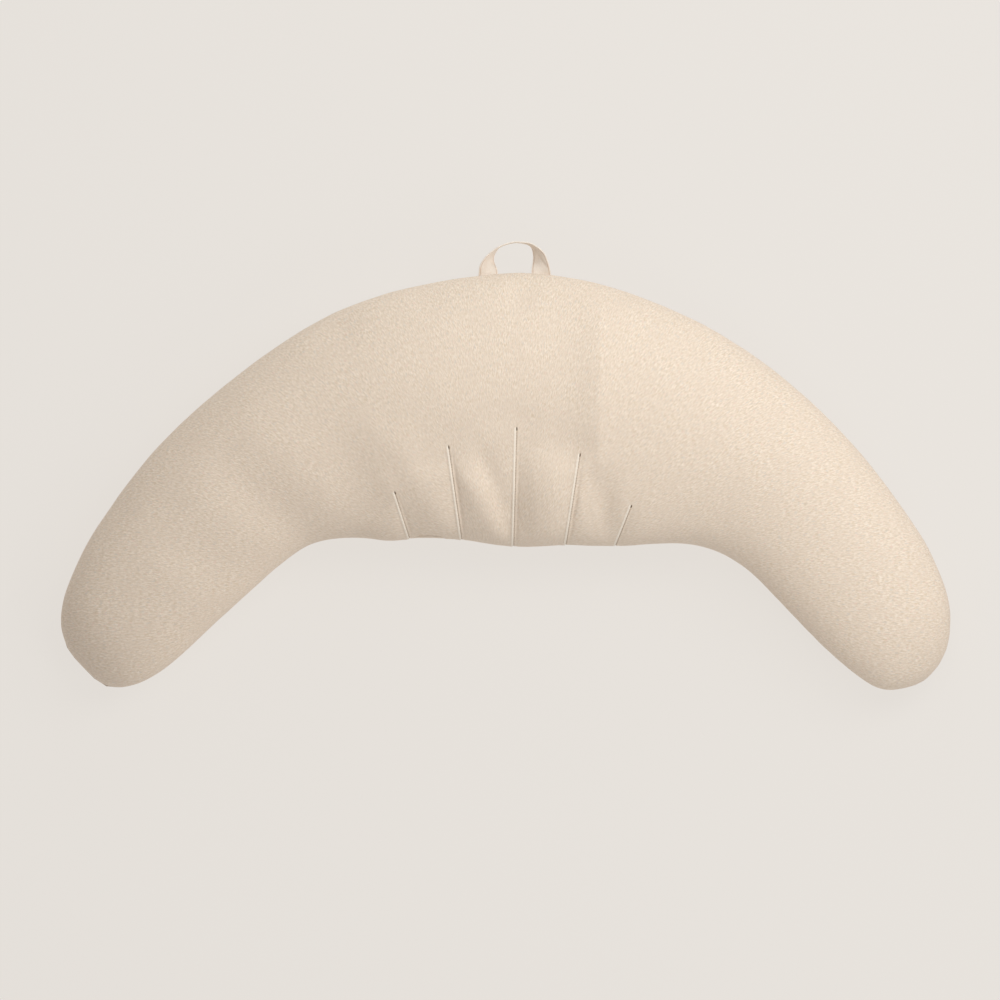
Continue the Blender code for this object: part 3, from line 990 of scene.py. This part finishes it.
def make_stitches(route):
    """Short threads in two lines along the tape, on both of its faces."""
    bpy.ops.object.select_all(action="DESELECT")
    bpy.ops.mesh.primitive_uv_sphere_add(segments=6, ring_count=5, radius=0.5)
    thread = bpy.context.active_object
    shape = bmesh.new()
    shape.from_mesh(thread.data)
    count = int(route.length / STITCH_PITCH)
    joined = bmesh.new()
    for line in (-1, 1):
        across = line * (TAPE_WIDTH / 2 - HEM_WIDTH)
        for face in (-1, 1):
            for step in range(count):
                along = (step + 0.5) * route.length / count
                lift = face * (TAPE_THICKNESS / 2 * STITCH_SUNK)
                place = route.place(along, across, lift)
                ahead = (route.place(along + 1.0, across, lift) - place).normalized()
                _, side, out = route.frame(along)
                turned = Matrix((side, out, ahead)).transposed().to_4x4()
                size = Matrix.Diagonal(Vector((STITCH_THICK, STITCH_THICK, STITCH_LENGTH, 1.0 / MM))) * MM
                copy = shape.copy()
                copy.transform(Matrix.Translation(place) @ turned @ size)
                spare = bpy.data.meshes.new("thread")
                copy.to_mesh(spare)
                joined.from_mesh(spare)
                copy.free()
                bpy.data.meshes.remove(spare)
    shape.free()
    joined.to_mesh(thread.data)
    joined.free()
    thread.name = "tape_stitches"
    thread.data.materials.clear()
    thread.data.materials.append(tape_thread())
    thread.data.shade_smooth()
    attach(thread, "root")
    return thread


def cotton_tape():
    """Plain-woven cotton, pale with a touch of rose, its weave of fine threads both ways, with painted shade
    along the grooves of its lines of stitches.
    """
    material, tree, shader = fabric_shader("cotton_tape")
    shader.inputs["Roughness"].default_value = 0.85
    shader.inputs["Specular IOR Level"].default_value = 0.25
    shader.inputs["Sheen Weight"].default_value = 0.08
    weave = shader_node(tree, "ShaderNodeUVMap", (-1500, 0), uv_map="weave").outputs["UV"]
    colour = flecked(tree, weave, TAPE_GROUND, TAPE_FLECKS)
    apart = shader_node(tree, "ShaderNodeSeparateXYZ", (-1300, 1200))
    tree.links.new(weave, apart.inputs["Vector"])
    across = maths(tree, "ABSOLUTE", apart.outputs["X"], 0.0, (-1100, 1200))
    hem = (TAPE_WIDTH / 2 - HEM_WIDTH) * MM
    # painted shade along the groove of each line of stitches
    line = band(tree, across, hem, HEM_SHADE_HALF * MM, HEM_SHADE_SOFT * MM, HEM_SHADE_SHARE, (-600, 1200))
    colour = tint(tree, colour, HEM_SHADE, line, (-100, 900))
    tree.links.new(colour, shader.inputs["Base Color"])
    threads = []
    for row, direction in enumerate(("X", "Y")):
        wave = shader_node(tree, "ShaderNodeTexWave", (-1100, -200 - 300 * row), bands_direction=direction)
        wave.inputs["Scale"].default_value = WEAVE_SCALE
        wave.inputs["Distortion"].default_value = WEAVE_UNEVEN
        tree.links.new(weave, wave.inputs["Vector"])
        threads.append(wave.outputs["Fac"])
    crossing = maths(tree, "MULTIPLY", threads[0], threads[1], (-600, -400))
    add_relief(tree, shader, crossing, strength=0.4, distance=0.3 * MM)
    return material

def tape_thread():
    material, tree, shader = fabric_shader("tape_thread")
    shader.inputs["Roughness"].default_value = 0.7
    place = shader_node(tree, "ShaderNodeTexCoord", (-900, 0)).outputs["Object"]
    twist = shader_node(tree, "ShaderNodeTexNoise", (-600, 0))
    twist.inputs["Scale"].default_value = 1500.0
    tree.links.new(place, twist.inputs["Vector"])
    share = spread(tree, twist.outputs["Fac"], 0.3, 0.7, 1.0, (-300, 0))
    colour = tint(tree, (0.560, 0.420, 0.320, 1.0), (0.680, 0.530, 0.420, 1.0), share, (0, 0))
    tree.links.new(colour, shader.inputs["Base Color"])
    return material


def make_floor():
    bpy.ops.object.select_all(action="DESELECT")
    bpy.ops.mesh.primitive_plane_add(size=FLOOR_SIZE, location=(0.0, 0.0, -FLOOR_BELOW * MM))
    floor = bpy.context.active_object
    floor.name = "floor"
    material = bpy.data.materials.new("pale_floor")
    material.use_nodes = True
    shader = material.node_tree.nodes["Principled BSDF"]
    shader.inputs["Base Color"].default_value = (0.110, 0.106, 0.102, 1.0)
    shader.inputs["Roughness"].default_value = 1.0
    shader.inputs["Specular IOR Level"].default_value = 0.0
    shader.inputs["Emission Color"].default_value = (0.807, 0.768, 0.723, 1.0)
    shader.inputs["Emission Strength"].default_value = 0.87
    floor.data.materials.append(material)


def make_lights():
    """A soft studio: pale walls all round and large lamps, the strongest ones up to the right."""
    world = bpy.data.worlds.new("studio")
    world.use_nodes = True
    world.node_tree.nodes["Background"].inputs["Color"].default_value = (1.0, 0.995, 0.98, 1.0)
    world.node_tree.nodes["Background"].inputs["Strength"].default_value = 0.42
    bpy.context.scene.world = world
    for lamp in LAMPS:
        light = bpy.data.lights.new(lamp.name, "AREA")
        light.shape = "DISK"
        light.size = LAMP_SIZE
        light.energy = lamp.power
        light.color = lamp.colour
        stand = bpy.data.objects.new(lamp.name, light)
        around, up = math.radians(lamp.around), math.radians(lamp.up)
        away = Vector((math.cos(around) * math.cos(up), math.sin(around) * math.cos(up), math.sin(up)))
        stand.location = away * LAMP_DISTANCE + Vector((0.0, 0.0, LAMP_AIM_HEIGHT))
        stand.rotation_euler = away.to_track_quat("Z", "Y").to_euler()
        bpy.context.scene.collection.objects.link(stand)


def make_camera():
    lens = bpy.data.cameras.new("overhead_camera")
    lens.lens = lens.sensor_width * (CAMERA_HEIGHT - OUTLINE_HEIGHT) / PICTURE_SPAN
    camera = bpy.data.objects.new("overhead_camera", lens)
    camera.location = (PICTURE_MIDDLE[0], PICTURE_MIDDLE[1], CAMERA_HEIGHT)
    bpy.context.scene.collection.objects.link(camera)
    bpy.context.scene.camera = camera


bpy.context.scene.view_settings.view_transform = "Standard"
make_camera()
make_lights()
make_floor()
make_pillow()
make_loop()
